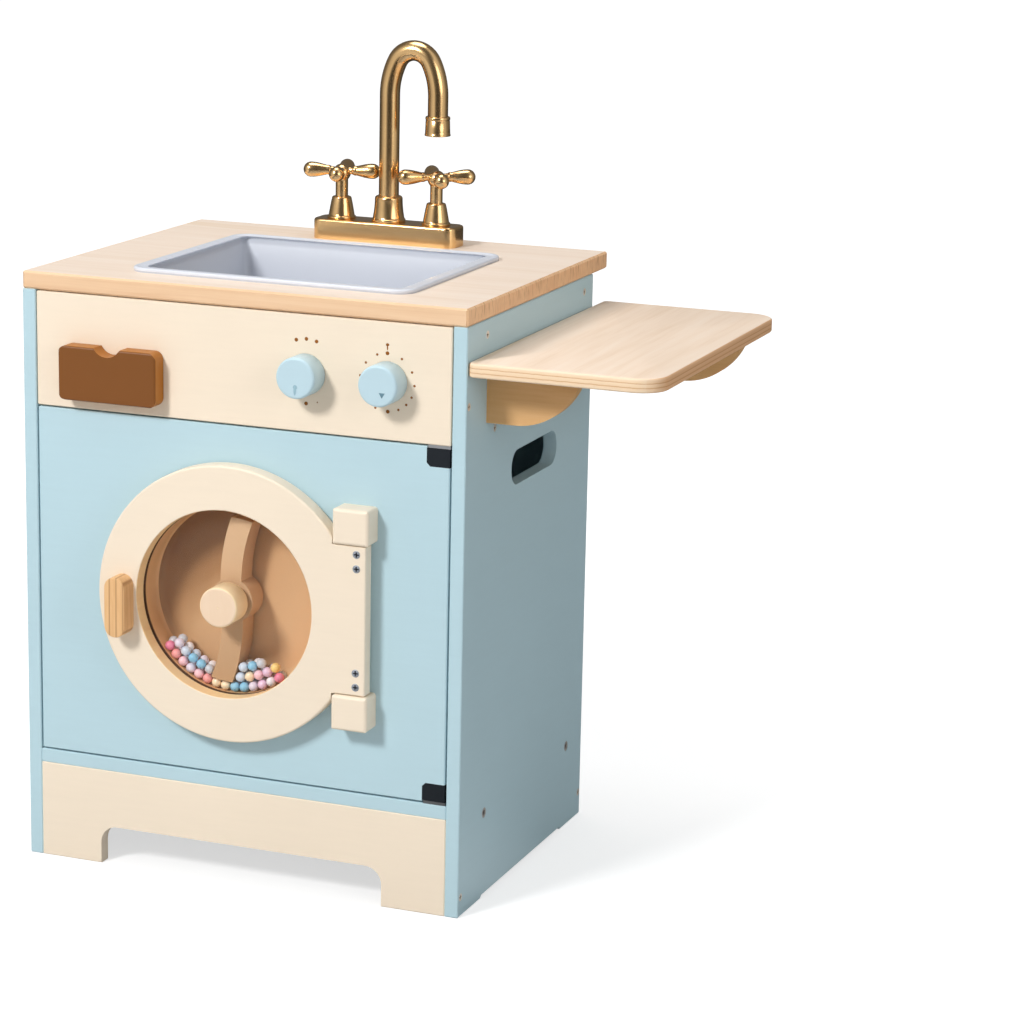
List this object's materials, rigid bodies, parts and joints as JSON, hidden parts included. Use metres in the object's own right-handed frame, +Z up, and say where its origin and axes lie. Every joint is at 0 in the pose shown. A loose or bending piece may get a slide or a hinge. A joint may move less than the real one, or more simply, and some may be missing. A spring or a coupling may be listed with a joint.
{
  "type": "toy washing machine",
  "caption": "Wooden play washing machine: hinged front with a round bead-drum door, soap drawer, two dials, sink, turning spout and tap handles, side ironing board.",
  "frame": {"origin": "bottom centre of the overall box, on the floor", "axes": "+Z up, -Y out of the front where the doors are, +X to the viewer's right where the ironing board is"},
  "size_m": [0.561, 0.3708, 0.6905],
  "materials": {
    "blue_paint": "satin paint",
    "cream_paint": "satin paint",
    "light_wood": "clear lacquer",
    "brown_wood": "satin stain",
    "tan_wood": "clear lacquer",
    "steel": "brushed",
    "dark_steel": "dark plated",
    "gold_paint": "satin gold",
    "grey_plastic": "smooth",
    "black_plastic": "matte",
    "white_plastic": "matte",
    "clear_plastic": "clear acrylic",
    "bead_plastic": "satin, mixed pastel colours"
  },
  "bodies": {
    "cabinet": {"side_panel_left": "blue_paint", "side_panel_right": "blue_paint", "back_panel": "blue_paint", "bottom_shelf": "blue_paint", "divider_shelf": "blue_paint", "plinth": "cream_paint", "control_panel": "cream_paint", "worktop": "light_wood", "top_cleats": "light_wood", "base_battens": "light_wood", "side_screws": "steel", "frame_bolts": "steel", "sink_basin": "grey_plastic", "tap_base": "gold_paint", "tap_bonnets": "gold_paint", "tap_collar": "gold_paint", "tap_screws": "steel", "ironing_board": "light_wood", "bracket_front": "light_wood", "bracket_rear": "light_wood", "bracket_screws": "steel", "pivot_plate_upper": "steel", "pivot_plate_lower": "steel", "catch_housing": "white_plastic", "soap_housing": "light_wood"},
    "cabinet_door": {"cabinet_door": "blue_paint", "pivot_clip_upper": "black_plastic", "pivot_clip_lower": "black_plastic", "strike_plate": "steel", "door_magnet": "steel", "hinge_block_upper": "cream_paint", "hinge_block_lower": "cream_paint", "block_screws": "steel"},
    "porthole_door": {"porthole_ring": "cream_paint", "porthole_window": "clear_plastic", "drum_cup": "tan_wood", "hinge_pin_upper": "steel", "hinge_pin_lower": "steel", "pin_screws": "dark_steel", "door_pull": "light_wood", "pull_screws": "steel", "ring_magnet": "steel", "beads": "bead_plastic"},
    "paddle": {"drum_paddle": "tan_wood", "paddle_shaft": "light_wood", "hub_knob": "cream_paint", "shaft_washer": "steel"},
    "soap_drawer": {"soap_front": "brown_wood", "soap_tray": "light_wood", "soap_screws": "steel"},
    "program_dial": {"program_knob": "blue_paint", "program_spindle": "light_wood", "program_washer": "steel"},
    "timer_dial": {"timer_knob": "blue_paint", "timer_spindle": "light_wood", "timer_washer": "steel"},
    "spout": {"tap_spout": "gold_paint", "tap_nozzle": "gold_paint"},
    "left_tap": {"tap_handle_left": "gold_paint"},
    "right_tap": {"tap_handle_right": "gold_paint"}
  },
  "joints": [
    {"name": "cabinet_door_hinge", "type": "hinge", "parent": "cabinet", "child": "cabinet_door", "pos_m": [0.0999, -0.1426, 0.2475], "axis": [0, 0, 1], "range_deg": [0, 95]},
    {"name": "round_door_hinge", "type": "hinge", "parent": "cabinet_door", "child": "porthole_door", "pos_m": [0.0328, -0.1559, 0.249], "axis": [0, 0, 1], "range_deg": [0, 90]},
    {"name": "paddle_spin", "type": "hinge", "parent": "porthole_door", "child": "paddle", "pos_m": [-0.087, -0.1466, 0.249], "axis": [0, 1, 0], "continuous": true, "deforming": ["beads"]},
    {"name": "soap_slide", "type": "slide", "parent": "cabinet", "child": "soap_drawer", "axis": [0, -1, 0], "range_m": [0, 0.045]},
    {"name": "program_turn", "type": "hinge", "parent": "cabinet", "child": "program_dial", "pos_m": [-0.0205, -0.1466, 0.4465], "axis": [0, 1, 0], "continuous": true},
    {"name": "timer_turn", "type": "hinge", "parent": "cabinet", "child": "timer_dial", "pos_m": [0.0515, -0.1466, 0.4465], "axis": [0, 1, 0], "continuous": true},
    {"name": "spout_swivel", "type": "hinge", "parent": "cabinet", "child": "spout", "pos_m": [-0.074, 0.1454, 0.56], "axis": [0, 0, 1], "range_deg": [-150, 0]},
    {"name": "left_tap_turn", "type": "hinge", "parent": "cabinet", "child": "left_tap", "pos_m": [-0.1197, 0.1454, 0.56], "axis": [0, 0, 1], "range_deg": [-90, 90]},
    {"name": "right_tap_turn", "type": "hinge", "parent": "cabinet", "child": "right_tap", "pos_m": [-0.0283, 0.1454, 0.56], "axis": [0, 0, 1], "range_deg": [-90, 90]}
  ]
}
